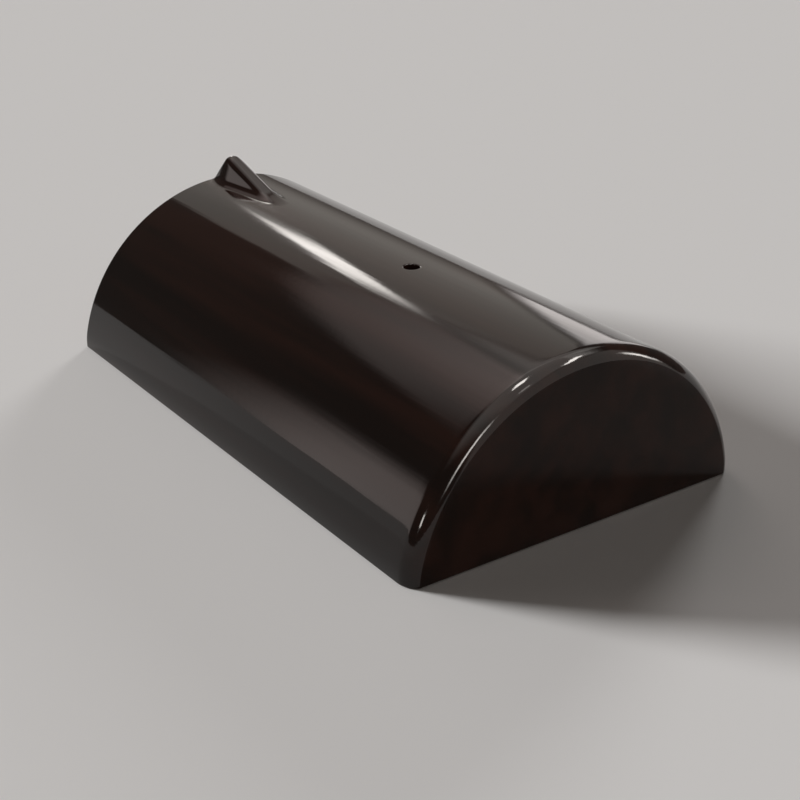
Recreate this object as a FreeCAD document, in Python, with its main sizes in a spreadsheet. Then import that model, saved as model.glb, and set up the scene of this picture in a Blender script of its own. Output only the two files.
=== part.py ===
import FreeCAD, Part
import math
import os

import Sketcher

# A glazed half-round ridge tile with one closed end, fired as a single clay body.
# The length runs along X from the open end to the closed end, Z is up, and the
# origin is the middle of the rectangle that the tile covers on the floor.
SIZES = {
    "length": 400.0,                # open end to closed end
    "closed_width": 240.0,          # across the base, at the closed end
    "closed_height": 107.5,         # base to crown, at the closed end
    "open_width": 235.0,            # across the base, at the open end
    "open_height": 105.5,           # base to crown, at the open end
    "upright_leg": 3.0,             # plumb foot of the arch, below its haunches
    "haunch_radius": 40.0,          # outer arcs between the legs and the crown
    "wall": 13.0,                   # clay thickness of the arch
    "end_wall": 14.0,               # clay thickness of the closed end
    "front_rounding": 12.0,         # outer edge all round the closed end
    "open_rounding": 1.5,           # outer edge of the arch at the open end
    "inside_rounding": 8.0,         # inner corner between the arch and the closed end
    "nail_hole_diameter": 10.0,
    "nail_hole_from_open_end": 234.0,
    "nail_hole_rim": 0.8,           # softened edge of the nail hole on the crown
    "nose_setback": 4.0,            # open end to the foot of the nose's back face
    "nose_length": 68.0,            # along the crown, back face to the foot of the crest
    "nose_height": 18.4,            # crown to the sharp top of the nose
    "nose_lean": 8.0,               # how far the back face leans towards the closed end
    "nose_crest_width": 10.0,       # across the flat crest of the nose
    "nose_back_width": 19.0,        # across the nose's foot, at its back face
    "nose_tail_width": 13.0,        # across the nose's foot, at the end of its crest
    "nose_rounding": 2.5,           # crest and back edges of the nose
    "nose_flare": 3.5,              # hollow rounding where the nose grows out of the crown
}

doc = FreeCAD.newDocument("RidgeTile")
sheet = doc.addObject("Spreadsheet::Sheet", "Sizes")
for row, (alias, value) in enumerate(SIZES.items(), start=1):
    sheet.set(f"A{row}", alias)
    sheet.set(f"B{row}", str(value))
    sheet.setAlias(f"B{row}", alias)
doc.recompute()

body = doc.addObject("PartDesign::Body", "RidgeTileBody")
body.Label = "ridge_tile"
planes = {feature.Role: feature for feature in body.Origin.OriginFeatures}


def new_sketch(name, plane, offset):
    """Sketch on one of the body's origin planes, moved by expressions for its own x, y and z."""
    sketch = body.newObject("Sketcher::SketchObject", name)
    sketch.AttachmentSupport = [(planes[plane], "")]
    sketch.MapMode = "FlatFace"
    for axis, expression in offset.items():
        sketch.setExpression(f"AttachmentOffset.Base.{axis}", expression)
    return sketch


def bind(sketch, name, constraint, expression):
    """Add a dimension to the sketch and tie it to the sheet."""
    index = sketch.addConstraint(constraint)
    sketch.renameConstraint(index, name)
    sketch.setExpression(f"Constraints.{name}", expression)


def arch_sketch(name, along, width, height, haunch, start):
    """Closed arch section: upright legs, haunch arcs and a crown arc, each tangent to the next.

    The legs run down past the base by the wall's thickness, to be cut flat there. The starting
    shape comes from the numbers in start: half width, height and haunch radius.
    """
    half, top, radius = start
    leg, depth = SIZES["upright_leg"], SIZES["wall"]
    centre = half - radius
    crown_centre = leg + (centre ** 2 - (top - leg - radius) ** 2) / (2 * (radius + leg - top))
    turn = math.atan2(leg - crown_centre, centre)
    upright = FreeCAD.Vector(0, 0, 1)
    sketch = new_sketch(name, "YZ_Plane", {"z": along})

    def arc(y, z, r, first, last):
        circle = Part.Circle(FreeCAD.Vector(y, z, 0), upright, r)
        return sketch.addGeometry(Part.ArcOfCircle(circle, first, last))

    def line(y0, z0, y1, z1):
        return sketch.addGeometry(Part.LineSegment(FreeCAD.Vector(y0, z0, 0), FreeCAD.Vector(y1, z1, 0)))

    right_leg = line(half, -depth, half, leg)
    right = arc(centre, leg, radius, 0, turn)
    crown = arc(0, crown_centre, top - crown_centre, turn, math.pi - turn)
    left = arc(-centre, leg, radius, math.pi - turn, math.pi)
    left_leg = line(-half, leg, -half, -depth)
    sole = line(-half, -depth, half, -depth)
    peak = sketch.addGeometry(Part.Point(FreeCAD.Vector(0, top, 0)), True)
    sketch.addConstraint([
        Sketcher.Constraint("Tangent", right_leg, 2, right, 1),
        Sketcher.Constraint("Tangent", right, 2, crown, 1),
        Sketcher.Constraint("Tangent", crown, 2, left, 1),
        Sketcher.Constraint("Tangent", left, 2, left_leg, 1),
        Sketcher.Constraint("Coincident", left_leg, 2, sole, 1),
        Sketcher.Constraint("Coincident", sole, 2, right_leg, 1),
        Sketcher.Constraint("Vertical", right_leg),
        Sketcher.Constraint("Symmetric", sole, 1, sole, 2, -2),
        Sketcher.Constraint("Symmetric", right, 1, left, 2, -2),
        Sketcher.Constraint("PointOnObject", crown, 3, -2),
        Sketcher.Constraint("PointOnObject", peak, 1, crown),
        Sketcher.Constraint("PointOnObject", peak, 1, -2),
    ])
    bind(sketch, "Width", Sketcher.Constraint("DistanceX", sole, 1, sole, 2, 2 * half), width)
    bind(sketch, "Height", Sketcher.Constraint("DistanceY", -1, 1, peak, 1, top), height)
    bind(sketch, "Haunch", Sketcher.Constraint("Radius", right, radius), haunch)
    bind(sketch, "Leg", Sketcher.Constraint("DistanceY", -1, 1, right, 1, leg), "Sizes.upright_leg")
    bind(sketch, "Depth", Sketcher.Constraint("DistanceY", sole, 1, -1, 1, depth), "Sizes.wall")
    return sketch


def wedge_sketch(name, offset, bottom, top, bottom_width, top_width):
    """Trapezium section of the nose, between two levels, with a width at each."""
    sketch = new_sketch(name, "YZ_Plane", offset)
    half, crest = SIZES["nose_back_width"] / 2, SIZES["nose_crest_width"] / 2
    low, high = -SIZES["wall"] / 3, SIZES["nose_height"]
    corners = [FreeCAD.Vector(y, z, 0) for y, z in [(-half, low), (half, low), (crest, high), (-crest, high)]]
    lines = [sketch.addGeometry(Part.LineSegment(corners[i - 1], corners[i])) for i in range(4)]
    for i in range(4):
        sketch.addConstraint(Sketcher.Constraint("Coincident", lines[i - 1], 2, lines[i], 1))
    foot, ridge = lines[1], lines[3]
    sketch.addConstraint([
        Sketcher.Constraint("Symmetric", foot, 1, foot, 2, -2),
        Sketcher.Constraint("Symmetric", ridge, 1, ridge, 2, -2),
    ])
    bind(sketch, "Bottom", Sketcher.Constraint("DistanceY", -1, 1, foot, 1, low), bottom)
    bind(sketch, "Top", Sketcher.Constraint("DistanceY", -1, 1, ridge, 1, high), top)
    bind(sketch, "BottomWidth", Sketcher.Constraint("DistanceX", foot, 1, foot, 2, 2 * half), bottom_width)
    bind(sketch, "TopWidth", Sketcher.Constraint("DistanceX", ridge, 2, ridge, 1, 2 * crest), top_width)
    return sketch


def loft(kind, name, profile, section):
    """Straight-sided loft from one section to another, added to or cut from the body."""
    feature = body.newObject(f"PartDesign::{kind}", name)
    feature.Profile = profile
    feature.Sections = [section]
    feature.Ruled = True
    doc.recompute()
    return feature


def fillet(name, radius, chosen):
    """Round every edge of the body that the test picks out."""
    base = body.Tip
    names = [f"Edge{i}" for i, edge in enumerate(base.Shape.Edges, start=1) if chosen(edge)]
    feature = body.newObject("PartDesign::Fillet", name)
    feature.Base = (base, names)
    feature.setExpression("Radius", radius)
    doc.recompute()
    return feature


def middle(edge):
    return edge.valueAt((edge.FirstParameter + edge.LastParameter) / 2)


def arch_edge(edge, x):
    """True for an edge of the arch that lies in the upright plane across the tile at x."""
    box = edge.BoundBox
    level = same_place - SIZES["wall"]
    return box.XLength < same_place and abs(box.XMin - x) < same_place and middle(edge).z > level


same_place = 0.01
closed_x = SIZES["length"] / 2
open_x = -closed_x
inside_x = closed_x - SIZES["end_wall"]

# The outer arch runs straight from the open end to the slightly larger closed end.
closed_start = (SIZES["closed_width"] / 2, SIZES["closed_height"], SIZES["haunch_radius"])
open_start = (SIZES["open_width"] / 2, SIZES["open_height"], SIZES["haunch_radius"])
closed_section = arch_sketch("ClosedSection", "Sizes.length / 2",
                             "Sizes.closed_width", "Sizes.closed_height", "Sizes.haunch_radius", closed_start)
open_section = arch_sketch("OpenSection", "-Sizes.length / 2",
                           "Sizes.open_width", "Sizes.open_height", "Sizes.haunch_radius", open_start)
doc.recompute()
loft("AdditiveLoft", "OuterArch", closed_section, open_section)

# The closed end is rounded all round its arch, the open end only softened.
fillet("FrontRounding", "Sizes.front_rounding", lambda edge: arch_edge(edge, closed_x))
fillet("OpenRounding", "Sizes.open_rounding", lambda edge: arch_edge(edge, open_x))

# The hollow keeps the wall all along the arch and stops at the inside of the closed end.
inner_haunch = "Sizes.haunch_radius - Sizes.wall"
end_share = "Sizes.end_wall / Sizes.length"
hollow_width = f"Sizes.closed_width - (Sizes.closed_width - Sizes.open_width) * {end_share} - 2 * Sizes.wall"
hollow_height = f"Sizes.closed_height - (Sizes.closed_height - Sizes.open_height) * {end_share} - Sizes.wall"
hollow_start = [tuple(value - SIZES["wall"] for value in start) for start in (closed_start, open_start)]
hollow_end = arch_sketch("HollowEnd", "Sizes.length / 2 - Sizes.end_wall",
                         hollow_width, hollow_height, inner_haunch, hollow_start[0])
hollow_mouth = arch_sketch("HollowMouth", "-Sizes.length / 2", "Sizes.open_width - 2 * Sizes.wall",
                           "Sizes.open_height - Sizes.wall", inner_haunch, hollow_start[1])
doc.recompute()
solid_volume = body.Shape.Volume
loft("SubtractiveLoft", "Hollow", hollow_end, hollow_mouth)
assert body.Shape.Volume < solid_volume
fillet("InsideRounding", "Sizes.inside_rounding", lambda edge: arch_edge(edge, inside_x))

# The base is cut flat all round.
base_sketch = new_sketch("BaseSketch", "XY_Plane", {})
half_length, half_width = SIZES["length"] / 2, SIZES["closed_width"] / 2
corners = [FreeCAD.Vector(x, y, 0) for x, y in [(-half_length, -half_width), (half_length, -half_width),
                                                (half_length, half_width), (-half_length, half_width)]]
sides = [base_sketch.addGeometry(Part.LineSegment(corners[i - 1], corners[i])) for i in range(4)]
base_sketch.addConstraint(
    [Sketcher.Constraint("Coincident", sides[i - 1], 2, sides[i], 1) for i in range(4)]
    + [Sketcher.Constraint("Vertical", sides[0]), Sketcher.Constraint("Vertical", sides[2]),
       Sketcher.Constraint("Horizontal", sides[1]), Sketcher.Constraint("Horizontal", sides[3]),
       Sketcher.Constraint("Symmetric", sides[1], 1, sides[3], 1, -1, 1)])
bind(base_sketch, "Along", Sketcher.Constraint("DistanceX", sides[1], 1, sides[1], 2, 2 * half_length),
     "Sizes.length")
bind(base_sketch, "Across", Sketcher.Constraint("DistanceY", sides[2], 1, sides[2], 2, 2 * half_width),
     "max(Sizes.closed_width; Sizes.open_width)")
doc.recompute()
untrimmed_volume = body.Shape.Volume
base_cut = body.newObject("PartDesign::Pocket", "BaseCut")
base_cut.Profile = base_sketch
base_cut.setExpression("Length", "Sizes.wall")
doc.recompute()
assert body.Shape.Volume < untrimmed_volume

# The nail hole goes upright through the crown, and its upper rim is softened.
hole_x = open_x + SIZES["nail_hole_from_open_end"]
hole_sketch = new_sketch("NailHoleSketch", "XY_Plane", {})
hole_circle = hole_sketch.addGeometry(
    Part.Circle(FreeCAD.Vector(hole_x, 0, 0), FreeCAD.Vector(0, 0, 1), SIZES["nail_hole_diameter"] / 2))
hole_sketch.addConstraint(Sketcher.Constraint("PointOnObject", hole_circle, 3, -1))
bind(hole_sketch, "Diameter", Sketcher.Constraint("Diameter", hole_circle, SIZES["nail_hole_diameter"]),
     "Sizes.nail_hole_diameter")
bind(hole_sketch, "Along", Sketcher.Constraint("DistanceX", -1, 1, hole_circle, 3, hole_x),
     "Sizes.nail_hole_from_open_end - Sizes.length / 2")
doc.recompute()
hollow_volume = body.Shape.Volume
nail_hole = body.newObject("PartDesign::Pocket", "NailHole")
nail_hole.Profile = hole_sketch
nail_hole.Type = "ThroughAll"
nail_hole.Reversed = True
doc.recompute()
assert body.Shape.Volume < hollow_volume


def crown_height(x):
    """Height of the outer crown above the base, at x."""
    share = (x - open_x) / SIZES["length"]
    return SIZES["open_height"] + (SIZES["closed_height"] - SIZES["open_height"]) * share


def on_outer_rim(edge):
    """True for the edges where the nail hole comes out of the crown."""
    point = middle(edge)
    off_wall = abs(math.hypot(point.x - hole_x, point.y) - SIZES["nail_hole_diameter"] / 2)
    level = crown_height(hole_x) - SIZES["wall"] / 2
    return off_wall < same_place and point.z > level and edge.BoundBox.ZLength < SIZES["wall"] / 2


fillet("NailHoleRim", "Sizes.nail_hole_rim", on_outer_rim)

# The stop nose is a wedge on the crown: a leaning back face at the open end, and a flat crest
# that falls in a straight line to the crown. Its root reaches a third of the wall into the crown
# at the back face, and twice that at the tail, past the foot of the crest.
nose_x = open_x + SIZES["nose_setback"]
foot_x = nose_x + SIZES["nose_length"]
rise = "(Sizes.closed_height - Sizes.open_height) / Sizes.length"
crown_at_nose = f"(Sizes.open_height + {rise} * Sizes.nose_setback)"
crown_at_foot = f"(Sizes.open_height + {rise} * (Sizes.nose_setback + Sizes.nose_length))"
root = "Sizes.wall / 3"
slant = "hypot(Sizes.nose_lean; Sizes.nose_height)"
spread = f"(Sizes.nose_back_width - Sizes.nose_crest_width) / {slant}"
back = wedge_sketch(
    "NoseBack", {"y": crown_at_nose, "z": "Sizes.nose_setback - Sizes.length / 2"},
    f"-{root}", slant,
    f"Sizes.nose_back_width + {spread} * {root}", "Sizes.nose_crest_width")
across = FreeCAD.Vector(1, 0, 0)
lean_start = math.degrees(math.atan2(SIZES["nose_lean"], SIZES["nose_height"]))
back.AttachmentOffset = FreeCAD.Placement(FreeCAD.Vector(), FreeCAD.Rotation(across, lean_start))
back.setExpression("AttachmentOffset.Rotation.Angle", "atan(Sizes.nose_lean / Sizes.nose_height)")
fall = "Sizes.nose_height / (Sizes.nose_length - Sizes.nose_lean)"
tail_x = f"Sizes.nose_setback + Sizes.nose_length + {root} - Sizes.length / 2"
tail = wedge_sketch(
    "NoseTail", {"y": crown_at_foot, "z": tail_x},
    f"-2 * {root}", f"-{root} * {fall}",
    "Sizes.nose_tail_width", "Sizes.nose_crest_width")
doc.recompute()
loft("AdditiveLoft", "Nose", back, tail)


def height_on_nose(edge):
    """Height of an edge's middle above the crown, or None for an edge outside the nose's reach."""
    point = middle(edge)
    reach = SIZES["nose_back_width"] / 2 + SIZES["nose_flare"]
    along = nose_x - SIZES["nose_flare"] < point.x < foot_x + SIZES["nose_flare"]
    if not along or abs(point.y) > reach or point.z < crown_height(point.x) - SIZES["wall"] / 2:
        return None
    return point.z - crown_height(point.x)


def on_crest(edge):
    height = height_on_nose(edge)
    return height is not None and height > SIZES["nose_height"] / 4


def on_foot(edge):
    height = height_on_nose(edge)
    return height is not None and height < SIZES["nose_height"] / 4


fillet("NoseRounding", "Sizes.nose_rounding", on_crest)
fillet("NoseFlare", "Sizes.nose_flare", on_foot)

for item in doc.Objects:
    assert not {"Invalid", "Error"} & set(item.State), f"{item.Name} did not build: {item.State}"
assert not body.Shape.isNull() and body.Shape.isValid()
assert len(body.Shape.Solids) == 1

body.Placement = FreeCAD.Placement(FreeCAD.Vector(0, 0, 0), FreeCAD.Rotation())
os.makedirs("parts", exist_ok=True)
body.Shape.exportStep(f"parts/{body.Label}.step")
print(f"{body.Label}: {body.Shape.Volume / 1000:.1f} cm3, box {body.Shape.BoundBox}")
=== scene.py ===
import math

import bpy
import numpy as np
from mathutils import Matrix, Vector


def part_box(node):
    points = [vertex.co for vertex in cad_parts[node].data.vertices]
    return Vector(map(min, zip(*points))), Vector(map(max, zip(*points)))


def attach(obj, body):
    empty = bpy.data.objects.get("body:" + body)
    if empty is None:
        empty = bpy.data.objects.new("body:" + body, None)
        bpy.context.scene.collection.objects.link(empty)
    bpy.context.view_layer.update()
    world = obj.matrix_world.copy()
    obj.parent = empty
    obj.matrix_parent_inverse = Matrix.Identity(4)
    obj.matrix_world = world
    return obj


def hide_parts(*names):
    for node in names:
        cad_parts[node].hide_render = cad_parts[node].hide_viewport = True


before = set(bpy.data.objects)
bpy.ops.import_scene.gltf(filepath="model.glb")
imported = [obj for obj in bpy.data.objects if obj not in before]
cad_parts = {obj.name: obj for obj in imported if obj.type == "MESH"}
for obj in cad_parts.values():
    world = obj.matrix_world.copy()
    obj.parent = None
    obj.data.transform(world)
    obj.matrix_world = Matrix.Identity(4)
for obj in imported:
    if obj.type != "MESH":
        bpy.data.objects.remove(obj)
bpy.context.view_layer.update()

# The arch and the closed end: one body of clay, pressed in a mould and fired. Its wall follows a
# slightly tapered half-round section, and a flat end closes it with a soft outer edge. The wall's
# own profile is carried round the section, so the whole body is a single closed skin.
low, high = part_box("ridge_tile")
open_x, closed_x = low.x, high.x
closed_half, closed_height = 0.1199, 0.1075
open_half, open_height = 0.1175, 0.1055
leg, haunch = 0.0030, 0.0400
wall, end_wall = 0.0130, 0.0140
front_rounding, front_turn, crease_rounding = 0.0120, math.radians(65), 0.0008
open_rounding, inside_rounding = 0.0022, 0.0080
lip_rounding, base_rounding = 0.0010, 0.0008
inside_x = closed_x - end_wall
front_start = closed_x - crease_rounding - (front_rounding - crease_rounding) * math.sin(front_turn)


def section(x):
    """Crown arc's centre height and radius, the haunch's reach from the middle, and where they meet.

    Half width and height grow in a straight line from the open to the closed end. The crown arc
    touches the top of the section and the haunch arcs, which stand on upright legs. The two meet at
    the angle from the crown that the line through both centres makes with the upright.
    """
    along = (x - open_x) / (closed_x - open_x)
    half = open_half + (closed_half - open_half) * along
    height = open_height + (closed_height - open_height) * along
    reach = half - haunch
    rise = height - leg - haunch
    centre = leg - (reach ** 2 - rise ** 2) / (2 * rise)
    return centre, height - centre, reach, np.arctan2(reach, leg - centre)


def arc_lengths(x):
    """Lengths of the crown arc and the haunch arc on one side of the section: radius times turn."""
    _, radius, _, turn = section(x)
    return radius * turn, haunch * (np.pi / 2 - turn)


def crown_height(x, y, inset=0.0):
    """Height of the crown arc over x, y: the arc's centre plus the upright side of its triangle."""
    centre, radius, _, _ = section(x)
    return centre + np.sqrt((radius - inset) ** 2 - y ** 2)


def arch(x, share, inset):
    """Y and z on the section at x: the angle from the crown grows with the length along the section.

    share runs from -1 to 1 across the section, base to base, and inset moves the point squarely
    inwards, which shortens the radius of each arc and leaves its centre where it is.
    """
    centre, radius, reach, _ = section(x)
    crown_run, haunch_run = arc_lengths(x)
    travel = np.abs(share) * (crown_run + haunch_run + leg - base_rounding)
    past_crown = travel - crown_run
    angle = np.minimum(travel, crown_run) / radius + np.clip(past_crown, 0, haunch_run) / haunch
    on_crown = past_crown <= 0
    arc = np.where(on_crown, radius, haunch) - inset
    y = np.where(on_crown, 0, reach) + arc * np.sin(angle)
    z = np.where(on_crown, centre, leg) + arc * np.cos(angle) - np.clip(past_crown - haunch_run, 0, None)
    return np.sign(share) * y, z


# The stop nose and the nail hole belong to the same skin: a wedge that the mould leaves on the
# crown at the open end, with rounded edges and a hollow root, and a hole pushed through the wet
# clay from above, with a rim that the glaze softens.
nose_setback, nose_length = 0.0016, 0.0705
nose_rise, nose_lean = 0.0189, 0.0110
nose_crest_half, nose_spread = 0.0052, 0.35
nose_stern, nose_draw_in = 0.0230, 0.0042
nose_back_rounding, nose_tail_rounding = 0.0040, 0.0022
nose_apex_rounding, nose_corner_rounding = 0.0045, 0.0022
nose_back_flare, nose_flare = 0.0013, 0.0042
nose_reach = 0.0180
hole_from_open, hole_radius, hole_rim = 0.2340, 0.0050, 0.0008
hole_x, hole_block = open_x + hole_from_open, 0.0120
halvings = 40


def rounded(first, second, radius):
    """Distance outside two surfaces at once, with their common edge as a round of the radius.

    Both distances are counted from surfaces that lie deeper by the radius. Past both of these, the
    distance is the longest side of the triangle that the two make.
    """
    first, second = first + radius, second + radius
    past_both = np.hypot(np.clip(first, 0, None), np.clip(second, 0, None))
    return past_both + np.clip(np.maximum(first, second), None, 0) - radius


def with_nose(x, y):
    """Height of the outer skin over x, y near the nose, found by halving an upright span.

    The nose is where a point lies under its crest and back planes and between its flanks, which spread
    downwards and draw in towards the back along a parabola, all with rounded edges. The ground under
    it is the crown, which falls away over the round of the open edge. Where a point comes within the
    flare of both, the two distances are joined by a hollow quarter round, and the flare narrows
    towards the back along the same parabola.
    """
    back_x = open_x + nose_setback
    foot_x = back_x + nose_length
    top_x = back_x + nose_lean
    back_z, foot_z = crown_height(back_x, 0), crown_height(foot_x, 0)
    top_z = back_z + nose_rise
    fall = np.array([foot_x - top_x, foot_z - top_z])
    fall = fall / np.linalg.norm(fall)
    climb = np.array([nose_lean, nose_rise])
    climb = climb / np.linalg.norm(climb)
    edge_round = np.interp(x, [top_x, foot_x], [nose_back_rounding, nose_tail_rounding])
    astern = np.clip((back_x + nose_stern - x) / nose_stern, 0, None) ** 2
    flare = nose_flare + (nose_back_flare - nose_flare) * astern
    over_edge = np.clip(open_x + open_rounding - x, 0, open_rounding)
    ground = crown_height(x, y) - open_rounding + np.sqrt(open_rounding ** 2 - over_edge ** 2)
    below, above = ground - nose_flare, ground + nose_rise + nose_flare
    for _ in range(halvings):
        z = (below + above) / 2
        crest = (z - top_z) * fall[0] - (x - top_x) * fall[1]
        back = (z - back_z) * climb[0] - (x - back_x) * climb[1]
        under_crest = top_z + (x - top_x) * fall[1] / fall[0] - z
        half_width = nose_crest_half + nose_spread * under_crest - nose_draw_in * astern
        flank = (np.abs(y) - half_width) / math.hypot(1, nose_spread)
        back_round = np.interp(z, [back_z, top_z], [nose_corner_rounding, nose_apex_rounding])
        nose = rounded(rounded(crest, flank, edge_round), back, back_round)
        crown = z - ground
        near = np.hypot(np.clip(flare - nose, 0, None), np.clip(flare - crown, 0, None))
        distance = np.maximum(flare, np.minimum(nose, crown)) - near
        below, above = np.where(distance < 0, z, below), np.where(distance < 0, above, z)
    return (below + above) / 2


# The skin itself, as the mould and the wire leave it: one profile runs from the middle of the closed
# face over its soft edge, along the outside, round the wall at the open mouth and back along the
# hollow to the middle of the closed end's inner face. Each of its points is carried round the section.
plain_spacing, hollow_spacing, hole_spacing = 0.0050, 0.0060, 0.0010
nose_spacing, mouth_spacing = 0.00075, 0.00032
crease_points, edge_points, mouth_points = 6, 14, 5
face_shares = np.array([0, 0.15, 0.32, 0.5, 0.68, 0.84, 0.95])
nose_end = open_x + nose_setback + nose_length + nose_reach


def stations(stops, spacings):
    """Places along a line from stop to stop, evenly spaced in each stretch by about its own spacing."""
    runs = [np.linspace(a, b, 1 + math.ceil(abs(b - a) / gap))[1:]
            for a, b, gap in zip(stops[:-1], stops[1:], spacings)]
    return np.concatenate([stops[:1], *runs])


def quarter_round(steps):
    """Angles of a quarter round, from none to a right angle in equal steps."""
    return np.radians(np.linspace(0, 90, 1 + steps))


def stretch(x, inset, scale=1.0):
    """One stretch of the profile, as three rows of numbers.

    They are x along the tile, the inset from the section, and the scale about the foot's middle.
    """
    return np.stack(np.broadcast_arrays(x, inset, scale))


outer_x = stations(
    [front_start, hole_x + hole_block, hole_x - hole_block, nose_end,
     open_x + nose_reach, open_x + open_rounding],
    [plain_spacing, hole_spacing, plain_spacing, nose_spacing, mouth_spacing])
inner_x = stations(
    [open_x + lip_rounding, hole_x - hole_block, hole_x + hole_block, inside_x - inside_rounding],
    [hollow_spacing, hole_spacing, hollow_spacing])
small_round, large_round = quarter_round(6), quarter_round(12)
turns = np.concatenate([np.linspace(np.pi / 2, front_turn, crease_points),
                        np.linspace(front_turn, 0, edge_points)[1:-1]])
in_crease = turns >= front_turn
edge_radius = np.where(in_crease, crease_rounding, front_rounding)
edge_centre = np.where(in_crease, front_rounding - crease_rounding, 0)
front_edge = stretch(front_start + edge_centre * math.sin(front_turn) + edge_radius * np.sin(turns),
                     front_rounding - edge_centre * math.cos(front_turn) - edge_radius * np.cos(turns))
profile = {
    "closed face": stretch(closed_x, front_edge[1, 0], face_shares),
    "front edge": front_edge,
    "outside": stretch(outer_x, 0.0),
    "open edge": stretch(open_x + open_rounding * (1 - np.sin(small_round[1:])),
                         open_rounding * (1 - np.cos(small_round[1:]))),
    "mouth": stretch(open_x, np.linspace(open_rounding, wall - lip_rounding, mouth_points)[1:-1]),
    "lip": stretch(open_x + lip_rounding * (1 - np.cos(small_round[:-1])),
                   wall - lip_rounding * (1 - np.sin(small_round[:-1]))),
    "hollow": stretch(inner_x, wall),
    "inside edge": stretch(inside_x - inside_rounding * (1 - np.sin(large_round[1:])),
                           wall + inside_rounding * (1 - np.cos(large_round[1:]))),
    "inner face": stretch(inside_x, wall + inside_rounding, face_shares[::-1])}
row_x, row_inset, row_scale = np.concatenate(list(profile.values()), axis=1)[:, :, None]
row_counts = [part.shape[1] for part in profile.values()]
first_row = dict(zip(profile, np.cumsum([0, *row_counts])))

# Across the section the columns lie close together under the nose and further apart down the sides.
# The nose lifts its patch of the crown, and the middle of either end face is a single point.
shoulder_reach = 0.0260
nose_gap, shoulder_gap, side_gap = 0.0004, 0.0010, 0.0022
half_section = sum(arc_lengths(closed_x)) + leg - base_rounding
half_columns = stations([0, nose_reach, shoulder_reach, half_section],
                        [nose_gap, shoulder_gap, side_gap]) / half_section
share = np.concatenate([-half_columns[:0:-1], half_columns])[None, :]
from_crown = np.abs(share[0]) * half_section
grid_y, grid_z = arch(row_x, share, row_inset)
grid_y = grid_y * row_scale
grid_z = base_rounding + (grid_z - base_rounding) * row_scale
grid_x = np.broadcast_to(row_x, grid_y.shape)
nose_rows = np.arange(first_row["outside"] + np.argmax(outer_x < nose_end), first_row["mouth"])
nose_patch = np.ix_(nose_rows, np.flatnonzero(from_crown < nose_reach))
grid_z[nose_patch] = with_nose(grid_x[nose_patch], grid_y[nose_patch])
index = np.arange(grid_y.size).reshape(grid_y.shape)
index[0] = index[0, 0]
index[-1] = index[-1, 0]
points = [np.stack([grid_x, grid_y, grid_z], axis=-1).reshape(-1, 3)]

# The nail hole, for the screw that holds the tile to the roof's ridge, cuts a block out of the grid on
# the crown and one under it. Loops of points lead from the upper block's edge over the rim, down the
# bore and out to the lower block. Each carries how far it lies past the glaze's edge, at the bore's end.
covered, glaze_edge, bare_clay = -0.02, 0.0, 0.02
hair_breadth = 1e-6


def over_hole(line):
    """Numbers of the places on a line along x that lie no further from the hole than its block's edge."""
    return np.flatnonzero(np.abs(line - hole_x) < hole_block + hair_breadth)


def strip(upper, lower):
    """Quads between two rows of vertex numbers, each the same length."""
    return np.stack([upper[:-1], upper[1:], lower[1:], lower[:-1]], axis=-1)


def border(block):
    """Vertex numbers round the edge of a block of the grid, once round."""
    return np.concatenate([block[0, :-1], block[:-1, -1], block[-1, :0:-1], block[:0:-1, 0]])


def closed(loop):
    """The loop with its first vertex number again at its end."""
    return np.append(loop, loop[0])


cells = np.stack([index[:-1, :-1], index[:-1, 1:], index[1:, 1:], index[1:, :-1]], axis=-1)
kept = np.ones(cells.shape[:2], bool)
kept[0] = kept[-1] = False  # these two rows are fans of triangles
hole_columns = np.flatnonzero(from_crown < hole_block)
hole_rows = first_row["outside"] + over_hole(outer_x)
under_rows = first_row["hollow"] + over_hole(inner_x)
for rows in (hole_rows, under_rows):
    kept[rows[0]:rows[-1], hole_columns[0]:hole_columns[-1]] = False
edge_above = border(index[np.ix_(hole_rows, hole_columns)])
edge_below = border(index[np.ix_(under_rows[::-1], hole_columns)])
around = points[0][edge_above, :2]
under_edge = points[0][edge_below, :2]
bearing = np.arctan2(around[:, 1], around[:, 0] - hole_x)
circle = np.stack([np.cos(bearing), np.sin(bearing)], axis=-1)
middle = np.array([hole_x, 0])
rim_edge = middle + (hole_radius + hole_rim) * circle
bore = middle + hole_radius * circle
loops = []
for share_in in (0.3, 0.6, 0.85):
    place = around + (rim_edge - around) * share_in
    loops.append((place, crown_height(*place.T), covered))
for turn in small_round:
    place = bore + hole_rim * (1 - np.sin(turn)) * circle
    loops.append((place, crown_height(*place.T) - hole_rim * (1 - np.cos(turn)), covered))
rim_z = loops[-1][1]
under_z = crown_height(*bore.T, wall)
for depth, past_glaze in ((0.33, covered), (0.67, covered), (1.0, glaze_edge)):
    loops.append((bore, rim_z + (under_z - rim_z) * depth, past_glaze))
for share_out in (0.25, 0.6):
    place = bore + (under_edge - bore) * share_out
    loops.append((place, crown_height(*place.T, wall), bare_clay))
points.append(np.concatenate([np.column_stack([place, z]) for place, z, _ in loops]))
hole_bare = np.repeat([past_glaze for _, _, past_glaze in loops], len(bearing))
hole_index = index.size + np.arange(len(hole_bare)).reshape(len(loops), -1)
hole_loops = [closed(loop) for loop in (edge_above, *hole_index, edge_below)]
hole_quads = [strip(a, b) for a, b in zip(hole_loops[:-1], hole_loops[1:])]

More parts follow.
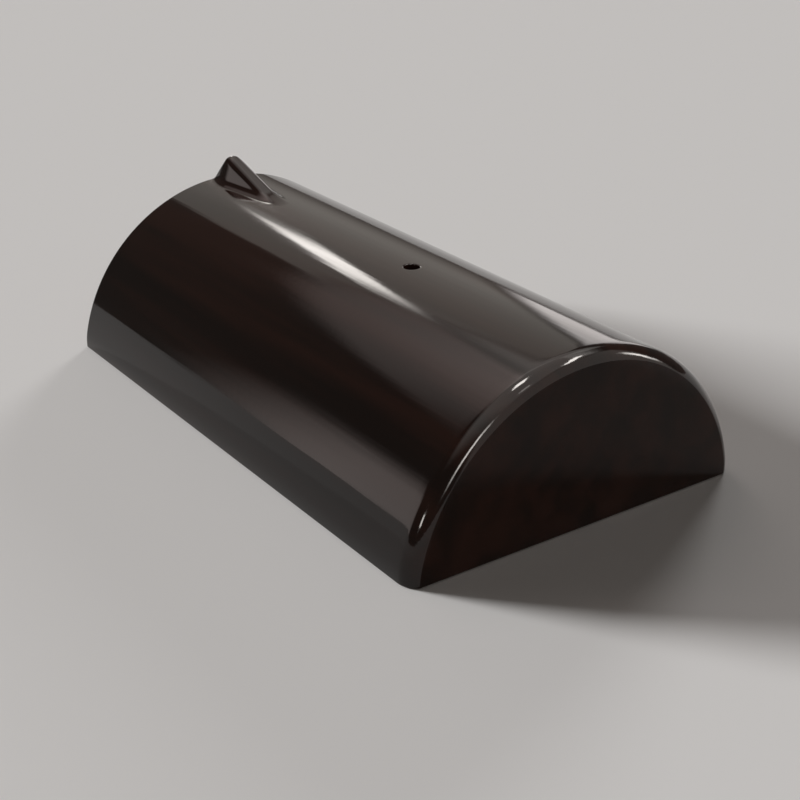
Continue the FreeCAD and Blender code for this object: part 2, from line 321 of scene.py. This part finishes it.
# The foot of the tile is a flat strip all round, where the clay stood on the kiln shelf. Its edges
# roll under by a quarter round, and no glaze is left on the flat.
foot = np.concatenate([index[:, -1], index[-2:0:-1, 0]])
outline = points[0][foot, :2]
ahead = np.roll(outline, -1, axis=0) - outline
ahead = ahead / np.linalg.norm(ahead, axis=1, keepdims=True)
tangent = ahead + np.roll(ahead, 1, axis=0)
inward = np.stack([-tangent[:, 1], tangent[:, 0]], axis=-1)
inward = inward / np.linalg.norm(tangent, axis=1, keepdims=True)
roll = quarter_round(5)[1:]
foot_points = np.concatenate([
    np.column_stack([outline + inward * base_rounding * (1 - np.cos(turn)),
                     np.full(len(foot), base_rounding * (1 - np.sin(turn)))]) for turn in roll])
foot_index = index.size + hole_index.size + np.arange(len(foot_points)).reshape(len(roll), -1)
points.append(foot_points)
foot_loops = [closed(loop)[::-1] for loop in (foot, *foot_index)]
foot_quads = [strip(a, b) for a, b in zip(foot_loops[:-1], foot_loops[1:])]

# All faces of the body together: the quads, a fan of triangles round the middle of either end face,
# and the flat of the foot as one face. Points that no face uses are dropped.
points = np.concatenate(points)
quads = np.concatenate([cells[kept], *hole_quads, *foot_quads])
front_fan = np.stack([index[0, :-1], index[1, 1:], index[1, :-1]], axis=-1)
inside_fan = np.stack([index[-2, :-1], index[-2, 1:], index[-1, 1:]], axis=-1)
sole = foot_index[-1][::-1]
used, renumbered = np.unique(
    np.concatenate([quads.ravel(), front_fan.ravel(), inside_fan.ravel(), sole]), return_inverse=True)
quad_run, front_run, inside_run, sole_run = np.split(
    renumbered, np.cumsum([quads.size, front_fan.size, inside_fan.size]))
faces = (quad_run.reshape(-1, 4).tolist() + front_run.reshape(-1, 3).tolist()
         + inside_run.reshape(-1, 3).tolist() + [sole_run.tolist()])

# How far each place lies past the edge of the glaze: the outside and the mouth are covered, the
# glaze runs a little way in under the mouth, and the hollow and the foot are bare clay.
glaze_inside = 0.0140
inner_first = first_row["hollow"]
grid_bare = np.full(index.shape, covered)
grid_bare[inner_first:] = (row_x[inner_first:] - open_x) - glaze_inside
foot_bare = np.tile(grid_bare.ravel()[foot], (len(roll), 1))
foot_bare[-1] = bare_clay
bare = np.concatenate([grid_bare.ravel(), hole_bare, foot_bare.ravel()])[used]

sharpest_round = math.radians(50)
mesh = bpy.data.meshes.new("ridge_tile_skin")
mesh.from_pydata(points[used].tolist(), [], faces)
smooth = np.ones(len(faces), bool)
smooth[-1] = False  # the flat of the foot
mesh.polygons.foreach_set("use_smooth", smooth)
mesh.attributes.new("bare", "FLOAT", "POINT").data.foreach_set("value", bare.astype(np.float32))
mesh.set_sharp_from_angle(angle=sharpest_round)
mesh.update()
tile = bpy.data.objects.new("ridge_tile_skin", mesh)
bpy.context.scene.collection.objects.link(tile)

# The glaze is a poured coat of glossy brown-black glass: it pools and thins in long runs, waves
# softly, and turns thin and red-brown towards its edge, past which the fired clay shows.
pooled_glaze, running_glaze = (0.0045, 0.0021, 0.0014, 1), (0.0120, 0.0044, 0.0028, 1)
thin_glaze = (0.060, 0.022, 0.011, 1)
dark_clay, light_clay = (0.27, 0.100, 0.052, 1), (0.42, 0.185, 0.105, 1)
clay_speck = (0.16, 0.060, 0.035, 1)
glossiest, dullest, clay_roughness = 0.045, 0.105, 0.86
edge_wander, thin_width = 0.010, 0.0060
clay_start, clay_full = -0.0004, 0.0006
wave_height, brush_height, skin_height, grain_height = 0.00017, 0.00005, 0.000006, 0.00025
glaze = bpy.data.materials.new("brown_black_glaze")
glaze.use_nodes = True
coat = glaze.node_tree
coat_shader = coat.nodes["Principled BSDF"]
coat_shader.inputs["IOR"].default_value = 1.45
on_tile = coat.nodes.new("ShaderNodeTexCoord").outputs["Object"]


def wired(tree, kind, inputs, **settings):
    """A node of the tree with its settings, and each input a plain value or another node's output."""
    node = tree.nodes.new("ShaderNode" + kind)
    for name, value in settings.items():
        setattr(node, name, value)
    open_sockets = [socket for socket in node.inputs if socket.enabled]
    for place, value in inputs.items():
        socket = open_sockets[place] if isinstance(place, int) else node.inputs[place]
        if isinstance(value, bpy.types.NodeSocket):
            tree.links.new(value, socket)
        else:
            socket.default_value = value
    return next(socket for socket in node.outputs if socket.enabled)


def joined(tree, operation, *values):
    """Sum, product or other plain operation on one or two values."""
    return wired(tree, "Math", dict(enumerate(values)), operation=operation)


def ramped(tree, value, start, end, low=0.0, high=1.0):
    """Value carried smoothly from low at start to high at end, and held beyond them."""
    return wired(tree, "MapRange", {"Value": value, "From Min": start, "From Max": end,
                                    "To Min": low, "To Max": high}, interpolation_type="SMOOTHSTEP")


def cloudy(per_metre, detail):
    """Soft noise from 0 to 1 with the given number of clouds per metre along x, y and z."""
    place = wired(coat, "Mapping", {"Vector": on_tile, "Scale": per_metre})
    return wired(coat, "TexNoise", {"Vector": place, "Scale": 1.0, "Detail": detail, "Roughness": 0.55})


def blended(share, first, second):
    """Colour between two colours, by the second one's share."""
    return wired(coat, "Mix", {0: share, 1: first, 2: second}, data_type="RGBA")


def raised(height, depth, under=None):
    """Normal of a surface that the height, from 0 to 1, lifts by up to depth metres."""
    inputs = {"Height": height, "Distance": depth}
    if under:
        inputs["Normal"] = under
    return wired(coat, "Bump", inputs)


uneven = joined(coat, "SUBTRACT", cloudy((30, 30, 30), 3.0), 0.5)
wandering = joined(coat, "MULTIPLY", uneven, edge_wander)
bare_place = coat.nodes.new("ShaderNodeAttribute")
bare_place.attribute_name = "bare"
past_edge = joined(coat, "ADD", bare_place.outputs["Fac"], wandering)
clay_share = ramped(coat, past_edge, clay_start, clay_full)
thin_share = ramped(coat, past_edge, -thin_width, 0.0, high=0.8)

run_marks = cloudy((2.5, 45, 45), 3.0)
brown = blended(ramped(coat, run_marks, 0.35, 0.7), pooled_glaze, running_glaze)
thinning = blended(thin_share, brown, thin_glaze)
clay_tone = blended(cloudy((14, 40, 40), 4.0), dark_clay, light_clay)
speck_share = ramped(coat, cloudy((420, 420, 420), 2.0), 0.62, 0.74, high=0.6)
clay_colour = blended(speck_share, clay_tone, clay_speck)
coat.links.new(blended(clay_share, thinning, clay_colour), coat_shader.inputs["Base Color"])

sheen = ramped(coat, cloudy((9, 60, 60), 4.0), 0.3, 0.75, glossiest, dullest)
rough = wired(coat, "Mix", {0: clay_share, 1: sheen, 2: clay_roughness}, data_type="FLOAT")
coat.links.new(rough, coat_shader.inputs["Roughness"])

flow_waves = raised(run_marks, wave_height)
brush_lines = raised(cloudy((3, 130, 130), 4.0), brush_height, flow_waves)
glaze_skin = raised(cloudy((260, 260, 260), 1.0), skin_height, brush_lines)
clay_grain = joined(coat, "ADD", cloudy((18, 240, 240), 3.0), cloudy((900, 900, 900), 2.0))
bare_grain = joined(coat, "MULTIPLY", clay_grain, clay_share)
coat.links.new(raised(bare_grain, grain_height, glaze_skin), coat_shader.inputs["Normal"])
mesh.materials.append(glaze)
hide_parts("ridge_tile")
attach(tile, "root")

# The floor is a wide sheet of plain pale paper, laid just under the tile's foot. It is matt all
# over, so that it takes the tile's soft shadow and shows no reflection of its own.
floor_half, floor_z = 30.0, -0.0002
floor_mesh = bpy.data.meshes.new("floor")
floor_mesh.from_pydata(
    [(x * floor_half, y * floor_half, floor_z) for x, y in ((-1, -1), (1, -1), (1, 1), (-1, 1))],
    [], [(0, 1, 2, 3)])
floor = bpy.data.objects.new("floor", floor_mesh)
bpy.context.scene.collection.objects.link(floor)
paper = bpy.data.materials.new("pale_paper")
paper.use_nodes = True
paper_shader = paper.node_tree.nodes["Principled BSDF"]
paper_shader.inputs["Base Color"].default_value = (0.80, 0.79, 0.78, 1)
paper_shader.inputs["Roughness"].default_value = 1.0
paper_shader.inputs["Specular IOR Level"].default_value = 0.0
floor_mesh.materials.append(paper)

# The room round the table: dim walls, with a light wall and ceiling behind the open end and a window
# on either side of them. Each patch of light is given by its bearings and elevations in degrees,
# counted from the closed end towards the far side and up from the floor, its soft edges and its light.
dim_walls = (0.090, 0.082, 0.076)
room_patches = {
    "back wall": ((136, 173.5), (-2, 37), (2, 1.5), (16, 1.5), (0.50, 0.465, 0.425)),
    "ceiling": ((160, 212), (35.4, 60), (6, 20), (2.5, 4), (0.55, 0.465, 0.440)),
    "brighter ceiling": ((160, 205), (37, 60), (6, 36), (10, 4), (0.72, 0.610, 0.575)),
    "left window": ((213.5, 242), (-1, 21), (8, 9), (1.5, 9), (1.25, 1.10, 1.05)),
    "right window": ((118, 137), (1, 26), (3, 2), (2, 10), (1.75, 1.65, 1.61))}
world = bpy.data.worlds.new("dim_room")
world.use_nodes = True
bpy.context.scene.world = world
room = world.node_tree
looked_at = room.nodes.new("ShaderNodeTexCoord").outputs["Generated"]
# Turned half round, so that the jump from 360 to 0 degrees lies off the patches.
turned = wired(room, "Mapping", {"Vector": looked_at, "Scale": (-1, -1, 1)})
direction = room.nodes.new("ShaderNodeSeparateXYZ")
room.links.new(turned, direction.inputs[0])
behind, across, upward = direction.outputs
from_back = joined(room, "DEGREES", joined(room, "ARCTAN2", across, behind))
bearing_in_room = joined(room, "ADD", from_back, 180.0)
elevation_in_room = joined(room, "DEGREES", joined(room, "ARCSINE", upward))


def lit_between(tree, value, start, end, rise, fall):
    """Share of light by a value: none at start, full after the rise, then a fall to none at end."""
    coming, going = ramped(tree, value, start, start + rise), ramped(tree, value, end, end - fall)
    return joined(tree, "MULTIPLY", coming, going)


room_light = dim_walls
for bearings, elevations, bearing_edges, elevation_edges, colour in room_patches.values():
    patch = joined(room, "MULTIPLY", lit_between(room, bearing_in_room, *bearings, *bearing_edges),
                   lit_between(room, elevation_in_room, *elevations, *elevation_edges))
    patch_light = wired(room, "VectorMath", {0: colour, 1: patch}, operation="SCALE")
    room_light = wired(room, "VectorMath", {0: room_light, 1: patch_light}, operation="ADD")
room.links.new(room_light, room.nodes["Background"].inputs["Color"])

# The studio lamps: far lights from both windows that light the paper, and small soft lamps whose
# reflections draw the streak on the crown and the strokes on the closed end's rounded edge. Those
# are flagged off the paper, so that the tile's own shadow stays.
studio_radius = 12.0
lamp_colour = (1.0, 0.95, 0.90)
even = (0.2, 0.2, 0.2, 0.2)
tile_only = bpy.data.collections.new("lit_by_small_lamps")
tile_only.objects.link(tile)
paper_only = bpy.data.collections.new("lit_by_far_lights")
paper_only.objects.link(floor)


def hung(lamp, at, tilt, lit):
    """Hang a lamp at a bearing and elevation, facing the tile, turned by tilt about the line to it."""
    bearing, elevation = map(math.radians, at)
    outward = Vector((math.cos(bearing) * math.cos(elevation),
                      math.sin(bearing) * math.cos(elevation), math.sin(elevation)))
    stand = bpy.data.objects.new(lamp.name, lamp)
    stand.matrix_world = (Matrix.Translation(outward * studio_radius)
                          @ outward.to_track_quat("Z", "Y").to_matrix().to_4x4()
                          @ Matrix.Rotation(math.radians(tilt), 4, "Z"))
    stand.visible_camera = False
    stand.light_linking.receiver_collection = lit
    bpy.context.scene.collection.objects.link(stand)


def far_light(name, at, spread, brightness):
    """Round light from far away, spread degrees across, that gives white paper the brightness."""
    lamp = bpy.data.lights.new(name, "SUN")
    lamp.angle = math.radians(spread)
    _, elevation = at
    lamp.energy = brightness * math.pi / math.sin(math.radians(elevation))
    hung(lamp, at, 0, paper_only)


def softbox(name, at, size, brightness, fade, tilt=0):
    """Flat lamp facing the tile from a bearing and elevation, as wide and high as two angles.

    fade is the share of the lamp over which it fades in, from its right, left, lower and upper edge
    as seen from the tile. Angles are in degrees.
    """
    width, height = map(math.radians, size)
    lamp = bpy.data.lights.new(name, "AREA")
    lamp.shape = "RECTANGLE"
    lamp.size = 2 * studio_radius * math.tan(width / 2)
    lamp.size_y = 2 * studio_radius * math.tan(height / 2)
    lamp.energy = brightness * math.pi * lamp.size * lamp.size_y
    lamp.color = lamp_colour
    lamp.use_nodes = True
    tree = lamp.node_tree
    split = tree.nodes.new("ShaderNodeSeparateXYZ")
    tree.links.new(tree.nodes.new("ShaderNodeNewGeometry").outputs["Parametric"], split.inputs[0])
    sideways = lit_between(tree, split.outputs["X"], 0, 1, fade[0], fade[1])
    upright = lit_between(tree, split.outputs["Y"], 0, 1, fade[2], fade[3])
    strength = tree.nodes["Emission"].inputs["Strength"]
    tree.links.new(joined(tree, "MULTIPLY", sideways, upright), strength)
    hung(lamp, at, tilt, tile_only)


far_light("left_window_light", at=(214, 15), spread=16, brightness=0.42)
far_light("right_window_light", at=(126, 15), spread=16, brightness=0.09)
softbox("front_panel", at=(32, 28), size=(88, 60), brightness=0.60, fade=(0.1, 0.1, 0.02, 0.15))
softbox("overhead_panel", at=(-58, 84), size=(76, 92), brightness=1.00, fade=(0.25, 0.12, 0.45, 0.12))
softbox("ceiling_panel", at=(137, 46), size=(44, 19), brightness=0.85, fade=(0.1, 0.2, 0.3, 0.1))
softbox("far_ceiling_panel", at=(97, 51), size=(40, 20), brightness=0.85, fade=(0.3, 0.2, 0.5, 0.1))
softbox("streak", at=(159.8, 32.5), size=(4.3, 12), brightness=8.8, fade=(0.25, 0.22, 0.42, 0.44), tilt=-23)
softbox("mouth_stroke", at=(154.5, 12), size=(3, 20), brightness=15.0, fade=even)
softbox("long_stroke", at=(-23, 28), size=(10, 40), brightness=17.0, fade=(0.4, 0.4, 0.5, 0.4), tilt=-20)
softbox("crown_stroke", at=(67, 56.3), size=(20, 6), brightness=22.0, fade=even)
softbox("far_stroke", at=(69.5, 19.5), size=(9, 26), brightness=15.0, fade=(0.4, 0.4, 0.5, 0.4))
softbox("low_stroke", at=(-75, 11.5), size=(9, 8), brightness=14.0, fade=even)
softbox("shoulder_stroke", at=(162, 81.5), size=(9, 14), brightness=22.0, fade=even)
softbox("second_stroke", at=(10, 63), size=(8, 8), brightness=3.0, fade=even)

# The camera stands at the viewing angle of the picture: before the closed end's near corner and a
# little above the crown, with a long lens.
camera_azimuth, camera_elevation = math.radians(54.806), math.radians(25.293)
camera_distance = 1.05437
aim_right, aim_up = 0.01241, 0.00254
back = Vector((math.sin(camera_azimuth) * math.cos(camera_elevation),
               -math.cos(camera_azimuth) * math.cos(camera_elevation), math.sin(camera_elevation)))
right = Vector((math.cos(camera_azimuth), math.sin(camera_azimuth), 0))
up = back.cross(right)
aim = aim_right * right + aim_up * up
lens = bpy.data.cameras.new("camera")
lens.sensor_width = 36.0
lens.lens = 71.99
camera = bpy.data.objects.new("camera", lens)
camera.matrix_world = (Matrix.Translation(aim + camera_distance * back)
                       @ Matrix((right, up, back)).transposed().to_4x4())
bpy.context.scene.collection.objects.link(camera)
bpy.context.scene.camera = camera
bpy.context.scene.view_settings.view_transform = "Standard"
